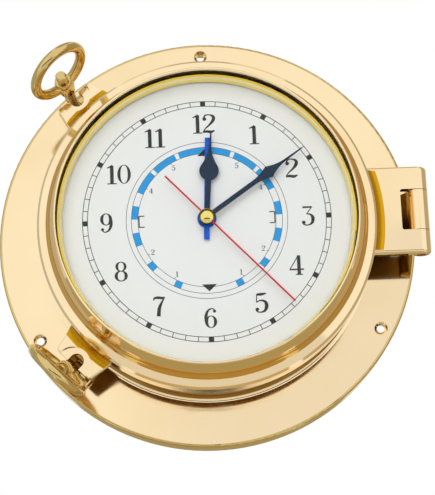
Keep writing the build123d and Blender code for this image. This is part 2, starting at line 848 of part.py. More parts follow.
write("base_flange", base_flange())
write("hinge_bracket", hinge_bracket())
write("hinge_pin", hinge_pin())
bracket_screw_tip = flange_height + screw_bite
cup_screw_tip = collar_top + cup_screw_bite
write("bracket_screws", *[pan_screw(flange_plate_back, bracket_screw_tip, p) for p in bracket_screw_places()])
write("dial_cup", dial_cup())
write("cup_screws", *[pan_screw(ledge_back, cup_screw_tip, p) for p in cup_screw_places()])
write("dial_plate", tube(cup_radius, bushing_radius + run_gap, dial_back, dial_front))
write("dial_washer", tube(washer_radius, bushing_radius + run_gap, movement_front, dial_back))
write("dial_nut", dial_nut())
write("movement_case", movement_case())
write("movement_cover", movement_cover())
write("battery", battery())
write("battery_contacts", *battery_contacts())
write("set_knob", set_knob())

tide_bar = strip(tide_hand_width, tide_hand_tail, tide_hand_reach)
second_bar = strip(second_hand_width, second_hand_tail, second_hand_reach)
write("tide_tube", arbor(tide_tube_radius, hour_bore, 0, tide_hand_level + hand_thickness))
write("hour_tube", arbor(hour_tube_radius, minute_bore, 1, hour_hand_level + hand_thickness))
write("minute_arbor", arbor(minute_arbor_radius, second_bore, 2, minute_hand_level + hand_thickness))
write("second_shaft", arbor(second_shaft_radius, 0, 3, cap_bottom))
hand_table = {
    "tide_hand": (
        tide_bar, tide_tube_radius + tide_hub_wall, tide_bore,
        tide_hand_level, hand_thickness, tide_hand_angle,
    ),
    "hour_hand": (
        hour_outline(), hour_tube_radius + hour_hub_wall, hour_bore,
        hour_hand_level, hand_thickness, hour_hand_angle,
    ),
    "minute_hand": (
        minute_outline(), minute_arbor_radius + minute_hub_wall, minute_bore,
        minute_hand_level, hand_thickness, minute_hand_angle,
    ),
    "second_hand": (
        second_bar, second_shaft_radius + second_hub_wall, second_bore,
        second_hand_level, second_hand_thickness, second_hand_angle,
    ),
}
for hand_name, hand_sizes in hand_table.items():
    write(hand_name, hand(*hand_sizes))
write("hand_cap", hand_cap())

write("bezel", bezel())
write("glass", rod(glass_radius, glass_back, glass_front))
write("glass_gasket", tube(glass_radius, bezel_lip_inner_radius - gasket_show, glass_front, lip_back))
write("glass_sleeve", turned([
    (glass_radius, sleeve_back),
    (glass_radius, glass_back),
    (glass_radius - sleeve_wall, glass_back),
    (glass_radius - sleeve_foot_wall, sleeve_back),
]))

for name, dog_angle in dog_angles.items():
    write(f"clamp_lug_{name}", Rot(Z=dog_angle) * clamp_lug())
    write(f"dog_bracket_{name}", dog_bracket(dog_angle))
    write(f"dog_pin_{name}", dog_pin(dog_angle))
    write(f"swing_bolt_{name}", swing_bolt(dog_angle))
    write(f"ring_nut_{name}", ring_nut(dog_angle))
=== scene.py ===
import json

import bmesh
import bpy
import numpy as np
from bpy.props import FloatProperty, FloatVectorProperty, PointerProperty
from mathutils import Matrix, Vector


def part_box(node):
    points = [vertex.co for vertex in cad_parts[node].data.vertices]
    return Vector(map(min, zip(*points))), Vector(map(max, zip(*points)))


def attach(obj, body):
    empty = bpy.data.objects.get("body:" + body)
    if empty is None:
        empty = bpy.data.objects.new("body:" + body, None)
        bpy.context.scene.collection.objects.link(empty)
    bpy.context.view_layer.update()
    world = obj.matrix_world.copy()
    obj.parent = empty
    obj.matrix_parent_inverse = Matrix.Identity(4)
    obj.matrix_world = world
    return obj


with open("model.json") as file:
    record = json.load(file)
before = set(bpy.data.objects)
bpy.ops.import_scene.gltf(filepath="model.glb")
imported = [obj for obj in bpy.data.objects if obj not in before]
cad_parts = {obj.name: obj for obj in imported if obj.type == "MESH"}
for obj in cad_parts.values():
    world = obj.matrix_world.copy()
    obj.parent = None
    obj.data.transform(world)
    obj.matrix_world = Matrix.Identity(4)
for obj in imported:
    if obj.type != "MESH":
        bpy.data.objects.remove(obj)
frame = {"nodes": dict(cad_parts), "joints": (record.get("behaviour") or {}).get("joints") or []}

bl_info = {
    "name": "Porthole Tide Clock",
    "version": (1, 0, 0),
    "blender": (4, 5, 0),
    "location": "3D View > Sidebar > Tide Clock",
    "description": "Prints the dial, threads the dogs and finishes a brass porthole tide clock",
    "category": "Object",
}

MM = 0.001
HALF_TURN = np.pi
FULL_TURN = 2 * np.pi
HOURS = 12
MINUTES = 60
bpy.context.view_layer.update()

# The dial's front and radius, in millimetres
DIAL_FRONT = -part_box("dial_plate")[0][1] / MM
DIAL_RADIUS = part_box("dial_plate")[1][0] / MM

# Radii about the clock's axis and distances out of the wall where the brass changes, in metres;
# the hinge bracket stands on the flange's face
FLANGE_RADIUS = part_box("base_flange")[1][0]
FLANGE_FRONT = -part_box("hinge_bracket")[1][1]
PAN_FRONT = FLANGE_FRONT - 2.8 * MM
RIM_RADIUS = FLANGE_RADIUS - 1.5 * MM
COLLAR_INSIDE = 76.2 * MM
BEZEL_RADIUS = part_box("bezel")[1][2]
LUG_TOP = 45.0 * MM
# Where amber shade is painted in the hollows: the fillets by the bezel and the bezel's cove
FILLET_RADII = (BEZEL_RADIUS + 0.1 * MM, BEZEL_RADIUS + 5.6 * MM)
FILLET_LEVELS = (LUG_TOP + 0.03 * MM, LUG_TOP + 5.6 * MM)
COVE_RADII = (BEZEL_RADIUS - 6.75 * MM, BEZEL_RADIUS - 4.4 * MM)
COVE_LEVELS = (LUG_TOP + 8.45 * MM, LUG_TOP + 13.1 * MM)
# Spans out of the wall where dark shade is painted: round the collar, under the door, on the lugs' sides and
# under the knuckles
SHADE_COLLAR = (FLANGE_FRONT + 0.6 * MM, LUG_TOP)
SHADE_DOOR = (0.0, LUG_TOP - 4.9 * MM)
SHADE_LUG = (0.0, LUG_TOP - 1.8 * MM)
SHADE_KNUCKLE = (0.0, LUG_TOP - 6.0 * MM)
SLEEVE_BACK = -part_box("glass_sleeve")[1][1]
SLEEVE_FRONT = -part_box("glass_sleeve")[0][1]

# Steps of the meshes: round a full turn of the dial, a numeral's ring or the thread, along the shortest
# arc, across a numeral's ball and between two pen rows
ARC_STEPS = 240
RING_STEPS = 40
THREAD_STEPS = 28
FEWEST_STEPS = 3
BALL_STEPS = 12
CURVE_STEPS = 6

# How near to a full turn an arc closes on itself, in radians
ANGLE_SLACK = 1e-6


class DialPrint(bpy.types.PropertyGroup):
    """Sizes of the printing on the dial, in millimetres."""

    film: FloatProperty(
        name="Ink film", description="How far the ink stands off the dial, mm", default=0.03, min=0.005)
    track_outer: FloatProperty(
        name="Track outer radius", description="Outer circle of the minute track, mm",
        default=DIAL_RADIUS - 13.4)
    track_inner: FloatProperty(
        name="Track inner radius", description="Inner circle of the minute track, mm",
        default=DIAL_RADIUS - 15.8)
    line_half: FloatProperty(
        name="Line half width", description="Half the width of the thin circles, mm", default=0.17)
    tick_half: FloatProperty(
        name="Tick half width", description="Half the width of a minute tick, mm", default=0.18)
    square_half: FloatProperty(
        name="Five-minute half width", description="Half the width of a five-minute block, mm",
        default=1.25)
    numeral_radius: FloatProperty(
        name="Numeral radius", description="Circle on which the hour numerals are centred, mm",
        default=48.4)
    numeral_height: FloatProperty(
        name="Numeral height", description="Height of the hour numerals, mm", default=9.6)
    tide_outer: FloatProperty(
        name="Tide ring outer radius", description="Outer thin circle of the tide ring, mm", default=38.9)
    block_outer: FloatProperty(
        name="Tide block outer radius", description="Outer edge of the blue tide blocks, mm", default=36.4)
    block_inner: FloatProperty(
        name="Tide block inner radius", description="Inner edge of the blue tide blocks, mm", default=33.2)
    tide_numeral_radius: FloatProperty(
        name="Tide numeral radius", description="Circle of the small tide numerals, mm", default=30.6)
    tide_numeral_height: FloatProperty(
        name="Tide numeral height", description="Height of the small tide numerals, mm", default=2.6)


class BoltThread(bpy.types.PropertyGroup):
    """Sizes of the screw thread on the swing bolts, in millimetres."""

    pitch: FloatProperty(name="Pitch", description="Rise of the thread in one turn, mm", default=0.9)
    crest: FloatProperty(name="Crest", description="Height of the thread over the shank, mm", default=0.2)
    shank_radius: FloatProperty(
        name="Shank radius", description="Radius of the plain shank, mm", default=2.6)
    plain_length: FloatProperty(
        name="Plain length", description="Unthreaded shank next to the eye, mm", default=7.5)
    hub_height: FloatProperty(
        name="Hub height", description="Length of bolt that the ring nut's hub covers, mm", default=9.9)
    margin: FloatProperty(
        name="Margin", description="Gap between the thread and the nut or the bolt's end, mm", default=0.9)


class ClockColours(bpy.types.PropertyGroup):
    """Colours of the clock's finishes."""

    brass: FloatVectorProperty(
        name="Brass", description="Polished brass", subtype="COLOR", size=4,
        default=(1.0, 0.81, 0.515, 1.0))
    brass_deep: FloatVectorProperty(
        name="Deep brass", description="Brass where it has mellowed", subtype="COLOR", size=4,
        default=(0.95, 0.745, 0.44, 1.0))
    # Painted shade: amber standing in for light bounced between the brass faces in the hollows
    brass_amber: FloatVectorProperty(
        name="Amber brass", description="Amber painted shade in the hollows of the castings", subtype="COLOR",
        size=4, default=(0.70, 0.375, 0.010, 1.0))
    sleeve: FloatVectorProperty(
        name="Sleeve", description="Yellow brass of the sleeve round the dial", subtype="COLOR", size=4,
        default=(0.95, 0.77, 0.24, 1.0))
    # Painted reflections: the sleeve's pale and deep-gold bands
    sleeve_pale: FloatVectorProperty(
        name="Sleeve, pale band", description="Painted highlight halfway up the sleeve", subtype="COLOR", size=4,
        default=(0.95, 0.82, 0.49, 1.0))
    sleeve_gold: FloatVectorProperty(
        name="Sleeve, gold band", description="Painted deep-gold reflection on the sleeve under the glass", subtype="COLOR",
        size=4, default=(0.92, 0.64, 0.05, 1.0))
    # Painted shade: a deeper tone that darkens the dogs and the flange's rim
    brass_dog: FloatVectorProperty(
        name="Dog brass", description="Deeper tone painting shade on the dogs and the flange's rim", subtype="COLOR",
        size=4, default=(0.70, 0.52, 0.21, 1.0))
    # Painted shade: dark brown under the door, on the lugs' sides, under the knuckles and round the collar
    brass_raw: FloatVectorProperty(
        name="Shaded brass", description="Dark painted shade under the door and round the collar",
        subtype="COLOR", size=4, default=(0.38, 0.235, 0.065, 1.0))
    dial: FloatVectorProperty(
        name="Dial", description="Dial enamel", subtype="COLOR", size=4, default=(0.875, 0.88, 0.88, 1.0))
    ink: FloatVectorProperty(
        name="Ink", description="Dark dial printing", subtype="COLOR", size=4,
        default=(0.048, 0.046, 0.044, 1.0))
    tide_blue: FloatVectorProperty(
        name="Tide blue", description="Blue blocks of the tide ring", subtype="COLOR", size=4,
        default=(0.03, 0.34, 0.78, 1.0))
    hand_blue: FloatVectorProperty(
        name="Tide hand", description="Paint of the tide hand", subtype="COLOR", size=4,
        default=(0.01, 0.10, 0.62, 1.0))
    hand_navy: FloatVectorProperty(
        name="Hour and minute hands", description="Paint of the hour and minute hands", subtype="COLOR",
        size=4, default=(0.018, 0.036, 0.068, 1.0))
    hand_red: FloatVectorProperty(
        name="Second hand", description="Paint of the second hand", subtype="COLOR", size=4,
        default=(0.62, 0.02, 0.03, 1.0))


class StudioStage(bpy.types.PropertyGroup):
    """Camera and light."""

    camera_place: FloatVectorProperty(
        name="Camera", description="Where the camera stands", subtype="TRANSLATION", unit="LENGTH",
        default=(-0.0047, -0.7769, -0.195))
    camera_roll: FloatProperty(
        name="Camera roll", description="Turn of the camera about its own line of sight", subtype="ANGLE",
        default=np.radians(2.18))
    lens: FloatProperty(name="Lens", description="Focal length, mm", default=113.1)
    shift: FloatVectorProperty(
        name="Shift", description="Shift of the picture, as shares of its longer side", size=2,
        default=(0.0206, -0.0015))
    floor_drop: FloatProperty(
        name="Floor drop", description="How far the floor lies below the clock's middle", unit="LENGTH",
        default=1.75)
    sky_light: FloatProperty(
        name="Sky light", description="Strength of the light from all round", default=0.5)
    lamp_place: FloatVectorProperty(
        name="Lamp", description="Where the soft lamp hangs", subtype="TRANSLATION", unit="LENGTH",
        default=(-0.12, -1.33, 0.26))
    lamp_size: FloatProperty(
        name="Lamp size", description="Side of the soft lamp", unit="LENGTH", default=1.2)
    lamp_power: FloatProperty(name="Lamp power", description="Power of the soft lamp, W", default=11.0)


def stand(right, up, out):
    """Places on the clock (right, up and out of the wall, in mm) in the frame's metres."""
    return np.stack(np.broadcast_arrays(right, -np.asarray(out, float), up), axis=-1) * MM


def tube_faces(rows, columns, closed):
    """Quads of a tube: columns run round the section, rows along the path; open paths get end caps."""
    row = np.arange(rows if closed else rows - 1)[:, None]
    column = np.arange(columns)[None, :]
    beside = (column + 1) % columns
    following = (row + 1) % rows
    corners = (row * columns + column, row * columns + beside,
               following * columns + beside, following * columns + column)
    faces = np.stack(np.broadcast_arrays(*corners), axis=-1).reshape(-1, 4).tolist()
    if not closed:
        ring = np.arange(columns)
        faces += [ring[::-1].tolist(), (ring + (rows - 1) * columns).tolist()]
    return faces


def ribbon(path, half_width, low, high, closed=False):
    """A flat strip: each path point p gives p + n w and p - n w at two levels, n being the path's normal."""
    path = np.asarray(path, float)
    half = np.broadcast_to(np.asarray(half_width, float), len(path))[:, None]
    if closed:
        along = np.roll(path, -1, axis=0) - np.roll(path, 1, axis=0)
    else:
        along = np.gradient(path, axis=0)
    along = along / np.linalg.norm(along, axis=1, keepdims=True)
    normal = np.stack([-along[:, 1], along[:, 0]], axis=1)
    left, right = path + normal * half, path - normal * half
    section = [(left, low), (right, low), (right, high), (left, high)]
    points = np.stack([stand(side[:, 0], side[:, 1], level) for side, level in section], axis=1)
    return points.reshape(-1, 3), tube_faces(len(path), len(section), closed)


def dial_point(radius, clockwise):
    """The dial place at a radius and an angle clockwise from twelve: (r sin a, r cos a)."""
    return np.stack(np.broadcast_arrays(radius * np.sin(clockwise), radius * np.cos(clockwise)), axis=-1)


def dial_arc(radius, half_width, start, end, low, high):
    """A strip along a circle between two clockwise angles, or the whole circle if they span a full turn."""
    closed = abs(end - start) >= FULL_TURN - ANGLE_SLACK
    steps = max(FEWEST_STEPS, int(np.ceil(abs(end - start) / FULL_TURN * ARC_STEPS)) + 1)
    angles = np.linspace(start, end, steps + closed)
    if closed:
        angles = angles[:-1]
    return ribbon(dial_point(radius, angles), half_width, low, high, closed)


def dial_spoke(inner, outer, half_inner, half_outer, clockwise, low, high):
    """A radial strip between two radii whose half width runs evenly from one value to the other."""
    radii = np.array([inner, outer])
    return ribbon(dial_point(radii, clockwise), [half_inner, half_outer], low, high)


def smooth_line(points):
    """A curve through the rows: from b to c, with neighbours a and d, a cubic of slopes (c-a)/2, (d-b)/2."""
    rows = np.asarray(points, float)
    if len(rows) == 2:
        return rows
    rows = np.vstack([2 * rows[0] - rows[1], rows, 2 * rows[-1] - rows[-2]])
    t = np.linspace(0, 1, CURVE_STEPS, endpoint=False)[None, :, None]
    a, b, c, d = (rows[i:len(rows) - 3 + i, None, :] for i in range(4))
    cubic = 2 * b + (c - a) * t + (2 * a - 5 * b + 4 * c - d) * t**2 + (3 * b - a - 3 * c + d) * t**3
    return np.vstack([cubic.reshape(-1, rows.shape[1]) / 2, rows[-2]])


# Numerals, in shares of their height: pen strokes as rows of (right, up, half width),
# balls as (right, up, radius) and rings as (right, up, outer half axes, inner half axes)
STROKES = {
    "1": [
        [(0.03, 0.0, 0.075), (0.03, 0.97, 0.075)],
        [(-0.16, 0.85, 0.016), (-0.05, 0.90, 0.035), (0.06, 0.97, 0.05)],
        [(-0.15, 0.02, 0.022), (0.21, 0.02, 0.022)],
    ],
    "2": [
        [(-0.20, 0.76, 0.03), (-0.12, 0.95, 0.03), (0.04, 0.975, 0.026), (0.18, 0.88, 0.06),
         (0.18, 0.70, 0.07), (0.06, 0.48, 0.045), (-0.10, 0.28, 0.028), (-0.21, 0.10, 0.02)],
        [(-0.22, 0.06, 0.04), (-0.08, 0.09, 0.055), (0.08, 0.06, 0.06), (0.22, 0.13, 0.025)],
    ],
    "3": [
        [(-0.17, 0.95, 0.04), (0.18, 0.955, 0.035)],
        [(0.18, 0.96, 0.022), (-0.03, 0.60, 0.018)],
        [(-0.03, 0.60, 0.018), (0.11, 0.57, 0.035), (0.20, 0.40, 0.07), (0.17, 0.15, 0.055),
         (0.03, 0.025, 0.025), (-0.12, 0.05, 0.03), (-0.18, 0.16, 0.04)],
    ],
    "4": [
        [(0.08, 0.99, 0.02), (-0.25, 0.30, 0.02)],
        [(-0.26, 0.28, 0.032), (0.27, 0.28, 0.032)],
        [(0.09, 0.0, 0.07), (0.09, 1.0, 0.07)],
        [(-0.04, 0.02, 0.022), (0.22, 0.02, 0.022)],
    ],
    "5": [
        [(-0.15, 0.92, 0.045), (0.02, 0.93, 0.055), (0.2, 0.97, 0.025)],
        [(-0.155, 0.95, 0.02), (-0.17, 0.52, 0.02)],
        [(-0.17, 0.53, 0.02), (-0.02, 0.62, 0.03), (0.15, 0.55, 0.055), (0.20, 0.33, 0.075),
         (0.13, 0.10, 0.05), (-0.02, 0.025, 0.025), (-0.14, 0.06, 0.03), (-0.19, 0.17, 0.04)],
    ],
    "6": [
        [(0.18, 0.84, 0.03), (0.08, 0.97, 0.022), (-0.08, 0.89, 0.04), (-0.17, 0.62, 0.062),
         (-0.17, 0.32, 0.06)],
    ],
    "7": [
        [(-0.20, 0.80, 0.016), (-0.17, 0.92, 0.04), (-0.03, 0.945, 0.055), (0.12, 0.92, 0.05),
         (0.21, 0.97, 0.02)],
        [(0.21, 0.96, 0.02), (0.09, 0.68, 0.045), (0.0, 0.38, 0.07), (-0.03, 0.0, 0.08)],
    ],
}
BALLS = {
    "2": (-0.155, 0.755, 0.075),
    "3": (-0.15, 0.165, 0.07),
    "5": (-0.15, 0.175, 0.07),
    "6": (0.15, 0.835, 0.06),
}
RINGS = {
    "0": [(0.0, 0.5, 0.26, 0.5, 0.13, 0.47)],
    "6": [(0.01, 0.31, 0.23, 0.31, 0.10, 0.275)],
    "8": [(0.0, 0.27, 0.25, 0.27, 0.12, 0.235), (0.0, 0.75, 0.21, 0.25, 0.10, 0.215)],
}
DIGIT_ADVANCE = {"0": 0.58, "1": 0.40, "2": 0.50}
DEFAULT_ADVANCE = 0.52
DIGIT_SPREAD = 1.34
DIGIT_WEIGHT = 1.22
BALL_REACH = 0.98

# How much higher each overlapping stroke is printed, in millimetres
STROKE_STEP = 0.004


def ring_stroke(middle_right, middle_up, outer_right, outer_up, inner_right, inner_up):
    """Pen rows round the ellipse midway between two others; the half width is half their gap at an angle."""
    angle = np.linspace(0, FULL_TURN, RING_STEPS, endpoint=False)
    right = (outer_right + inner_right) / 2 * np.cos(angle) + middle_right
    up = (outer_up + inner_up) / 2 * np.sin(angle) + middle_up
    gap = (outer_right - inner_right) * np.cos(angle)**2 + (outer_up - inner_up) * np.sin(angle)**2
    return np.stack([right, up, gap / 2], axis=1)


def ball_stroke(right, up, radius):
    """Pen rows across a disc: at the place r t the half width follows the circle, r sqrt(1 - t^2)."""
    t = np.linspace(-BALL_REACH, BALL_REACH, BALL_STEPS)
    return np.stack([right + radius * t, np.full_like(t, up), radius * np.sqrt(1 - t**2)], axis=1)


def digit_strokes(digit):
    """The pen rows of one digit, each with whether it closes; a nine is a six turned half round."""
    if digit == "9":
        return [(rows * (-1, -1, 1) + (0, 1, 0), closed) for rows, closed in digit_strokes("6")]
    strokes = [(smooth_line(rows), False) for rows in STROKES.get(digit, [])]
    strokes += [(ring_stroke(*ring), True) for ring in RINGS.get(digit, [])]
    if digit in BALLS:
        strokes.append((ball_stroke(*BALLS[digit]), False))
    return strokes


def numeral(text, middle, height, low, high):
    """A number centred on a dial place: each digit's pen rows scaled by the height and set side by side."""
    advances = [DIGIT_ADVANCE.get(digit, DEFAULT_ADVANCE) * DIGIT_SPREAD for digit in text]
    starts = np.cumsum([0] + advances[:-1]) + np.array(advances) / 2 - sum(advances) / 2
    parts = []
    for digit, start in zip(text, starts):
        for index, (rows, closed) in enumerate(digit_strokes(digit)):
            path = (rows[:, :2] * (DIGIT_SPREAD, 1.0) + (start, -0.5)) * height + middle
            half = rows[:, 2] * DIGIT_WEIGHT * height
            parts.append(ribbon(path, half, low, high + index * STROKE_STEP, closed))
    return parts


# Half the thread's width as a share of its pitch, and its depth in the shank as a share of its crest
FLANK_SHARE = 0.42
ROOT_SHARE = 0.25


def thread_ridge(pivot, axis, start, end, radius, crest, pitch):
    """A pointed ridge along a helix: angle a rises pitch a / 2 pi, and the crest fades at both ends."""
    turns = (end - start) / pitch
    angle = np.linspace(0, turns * FULL_TURN, int(turns * THREAD_STEPS))
    fade = np.clip(np.minimum(angle, angle[-1] - angle) / HALF_TURN, 0, 1)
    side = Vector(axis).orthogonal().normalized()
    other = Vector(axis).cross(side)
    spoke = np.cos(angle)[:, None] * np.array(side) + np.sin(angle)[:, None] * np.array(other)
    rise = start + pitch * angle / FULL_TURN
    root = np.full_like(angle, radius - crest * ROOT_SHARE)
    section = [(root, -FLANK_SHARE), (radius + crest * fade, 0.0), (root, FLANK_SHARE)]
    rows = [spoke * reach[:, None] + np.array(axis) * (rise + shift * pitch)[:, None]
            for reach, shift in section]
    points = np.stack(rows, axis=1).reshape(-1, 3) * MM + np.array(pivot)
    return points, tube_faces(len(angle), len(section), closed=False)


def make_piece(name, parts, finish, body, smooth=False):
    """Join closed parts (points, faces) into one mesh object at the origin, riding on a body."""
    counts = [len(points) for points, _ in parts]
    offsets = np.cumsum([0] + counts[:-1])
    points = np.concatenate([points for points, _ in parts])
    faces = [[corner + offset for corner in face]
             for (_, group), offset in zip(parts, offsets) for face in group]
    mesh = bpy.data.meshes.new(name)
    mesh.from_pydata(points.tolist(), [], faces)
    shell = bmesh.new()
    shell.from_mesh(mesh)
    bmesh.ops.recalc_face_normals(shell, faces=shell.faces)
    shell.to_mesh(mesh)
    shell.free()
    mesh.polygons.foreach_set("use_smooth", [smooth] * len(mesh.polygons))
    mesh.materials.append(finish)
    piece = bpy.data.objects.new(name, mesh)
    bpy.context.collection.objects.link(piece)
    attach(piece, body)


# Roughness of the brass, from its brightest to its dullest spots, and the least in the fillets, under the
# painted shade and on the sandy hidden side
POLISHED = (0.05, 0.11)
HANDLED = (0.07, 0.15)
WIPED = (0.10, 0.18)
SATIN = (0.14, 0.24)
FILLET_ROUGHNESS = 0.32
SHADE_ROUGHNESS = 0.3
SAND_ROUGHNESS = 0.42

# How much of the amber painted shade the bezel's cove takes
COVE_SHARE = 0.75

# Marks on the brass: scale of the noise per metre, and depth of the bump in metres
MELLOW_SCALE = 18.0
POLISH_SCALE = 70.0
HAIR_SCALE = 900.0
HAIR_STRETCH = (1.0, 1.0, 0.08)
HAIR_STRENGTH = 0.0015
HAIR_DEPTH = 0.05 * MM
WAVE_SCALE = 28.0
WAVE_DEPTH = 1.0 * MM
SAND_SCALE = 520.0
SAND_STRENGTH = 0.5
SAND_DEPTH = 0.4 * MM

# Gloss and grain of paint and plastic
PAINT_SPECULAR = 0.12
GLOSS_SCALE = 90.0
GLOSS_SPREAD = 0.15
GRAIN_DEPTH = 0.1 * MM

# What the glass lets through, and the index that sets its sheen
GLASS_CLEAR = (0.985, 0.99, 0.985, 1.0)
SHEEN_IOR = 1.1

# Colours of the plain pieces, and where along its length the battery turns copper, in metres
WHITE = (1.0, 1.0, 1.0, 1.0)
STEEL_GREY = (0.55, 0.55, 0.56, 1.0)
RUBBER_BLACK = (0.012, 0.011, 0.011, 1.0)
RUBBER_BROWN = (0.055, 0.045, 0.026, 1.0)
PLASTIC_BLACK = (0.02, 0.02, 0.022, 1.0)
KNOB_GREY = (0.62, 0.62, 0.60, 1.0)
JACKET_COPPER = (0.62, 0.33, 0.13, 1.0)
COPPER_START = 9.0 * MM

# Where most noise values lie, and the sockets of a Mix node that blends colours
NOISE_LOW = 0.3
NOISE_HIGH = 0.7
MIX_FACTOR = 0
MIX_FIRST = 6
MIX_SECOND = 7
MIX_RESULT = 2

# The finishes made so far, by name
FINISHES = {}


def new_finish(name):
    """A node material with its tree, surface shader and Object coordinates; one made before comes alone."""
    if name in FINISHES:
        return FINISHES[name], None, None, None
    finish = bpy.data.materials.new(name)
    FINISHES[name] = finish
    finish.use_nodes = True
    tree = finish.node_tree
    shader = tree.nodes["Principled BSDF"]
    place = tree.nodes.new("ShaderNodeTexCoord").outputs["Object"]
    return finish, tree, shader, place


def noise(tree, place, scale, detail=2.0, stretch=None):
    """A noise value on Object coordinates, stretched along an axis if asked."""
    if stretch:
        mapping = tree.nodes.new("ShaderNodeMapping")
        mapping.inputs["Scale"].default_value = stretch
        tree.links.new(place, mapping.inputs["Vector"])
        place = mapping.outputs["Vector"]
    node = tree.nodes.new("ShaderNodeTexNoise")
    node.inputs["Scale"].default_value = scale
    node.inputs["Detail"].default_value = detail
    tree.links.new(place, node.inputs["Vector"])
    return node.outputs["Fac"]


def ranged(tree, value, low, high):
    """A noise value spread over a range."""
    node = tree.nodes.new("ShaderNodeMapRange")
    node.inputs["From Min"].default_value = NOISE_LOW
    node.inputs["From Max"].default_value = NOISE_HIGH
    node.inputs["To Min"].default_value = low
    node.inputs["To Max"].default_value = high
    tree.links.new(value, node.inputs["Value"])
    return node.outputs["Result"]


def bumped(tree, value, strength, depth, under=None):
    """A bump, on top of another one if there is one."""
    node = tree.nodes.new("ShaderNodeBump")
    node.inputs["Strength"].default_value = strength
    node.inputs["Distance"].default_value = depth
    tree.links.new(value, node.inputs["Height"])
    if under:
        tree.links.new(under, node.inputs["Normal"])
    return node.outputs["Normal"]


def feed(tree, socket, value):
    """Link another socket into a socket, or set it to a plain value."""
    if isinstance(value, bpy.types.NodeSocket):
        tree.links.new(value, socket)
    else:
        socket.default_value = value


def blended(tree, factor, first, second):
    """A colour between two sockets or plain colours, by a factor."""
    node = tree.nodes.new("ShaderNodeMix")
    node.data_type = "RGBA"
    for socket, value in ((MIX_FACTOR, factor), (MIX_FIRST, first), (MIX_SECOND, second)):
        feed(tree, node.inputs[socket], value)
    return node.outputs[MIX_RESULT]


def computed(tree, operation, first, second):
    """One step of arithmetic on sockets or plain numbers."""
    node = tree.nodes.new("ShaderNodeMath")
    node.operation = operation
    for socket, value in zip(node.inputs, (first, second)):
        feed(tree, socket, value)
    return node.outputs["Value"]


def ring_place(tree, place):
    """Radius about the clock's axis and the distance out of the wall, both in metres."""
    apart = tree.nodes.new("ShaderNodeSeparateXYZ")
    tree.links.new(place, apart.inputs["Vector"])
    across = computed(tree, "POWER", apart.outputs["X"], 2.0)
    upright = computed(tree, "POWER", apart.outputs["Z"], 2.0)
    radius = computed(tree, "SQRT", computed(tree, "ADD", across, upright), 0.0)
    return radius, computed(tree, "MULTIPLY", apart.outputs["Y"], -1.0)


def between(tree, value, low, high):
    """One where a value lies between two bounds, and zero elsewhere."""
    above = computed(tree, "GREATER_THAN", value, low)
    return computed(tree, "MULTIPLY", above, computed(tree, "LESS_THAN", value, high))


def seen_rays(tree):
    """One for what the camera sees straight, in mirrors or through glass, and zero for other light."""
    ray = tree.nodes.new("ShaderNodeLightPath").outputs
    seen = computed(tree, "MAXIMUM", ray["Is Camera Ray"], ray["Is Glossy Ray"])
    return computed(tree, "MAXIMUM", seen, ray["Is Transmission Ray"])


def hidden_side(tree, place):
    """One inside the pan and the collar, where the casting was never polished, and zero elsewhere."""
    radius, out = ring_place(tree, place)
    in_pan = computed(tree, "LESS_THAN", radius, RIM_RADIUS)
    behind = computed(tree, "LESS_THAN", out, PAN_FRONT)
    in_collar = computed(tree, "LESS_THAN", radius, COLLAR_INSIDE)
    return computed(tree, "MAXIMUM", computed(tree, "MULTIPLY", in_pan, behind), in_collar)


def hollows(tree, place):
    """Two masks for the amber painted shade and a duller polish: the fillets of lugs and hinge, and the
    bezel's cove.
    """
    radius, out = ring_place(tree, place)
    masks = []
    for radii, levels in ((FILLET_RADII, FILLET_LEVELS), (COVE_RADII, COVE_LEVELS)):
        across = between(tree, radius, *radii)
        masks.append(computed(tree, "MULTIPLY", across, between(tree, out, *levels)))
    return masks


def dulled(tree, polish, mask, roughness):
    """A polish that is at least so rough where a mask is one."""
    return computed(tree, "MAXIMUM", polish, computed(tree, "MULTIPLY", mask, roughness))


# Heights of the sleeve's painted reflection bands, as shares of its height
BAND_SHARES = (0.3, 0.48, 0.62, 0.8)


def sleeve_bands(tree, place):
    """Painted reflections on the sleeve from the dial up to the glass: yellow, a paler band, then deep gold.
    """
    colours = bpy.context.scene.clock_colours
    height = tree.nodes.new("ShaderNodeMapRange")
    height.inputs["From Min"].default_value = SLEEVE_BACK
    height.inputs["From Max"].default_value = SLEEVE_FRONT
    tree.links.new(ring_place(tree, place)[1], height.inputs["Value"])
    bands = tree.nodes.new("ShaderNodeValToRGB")
    tones = (colours.sleeve, colours.sleeve_pale, colours.sleeve_pale, colours.sleeve_gold)
    ramp = bands.color_ramp.elements
    for spot in BAND_SHARES[1:-1]:
        ramp.new(spot)
    for element, spot, tone in zip(ramp, BAND_SHARES, tones):
        element.position = spot
        element.color = tone
    tree.links.new(height.outputs["Result"], bands.inputs["Fac"])
    return bands.outputs["Color"]


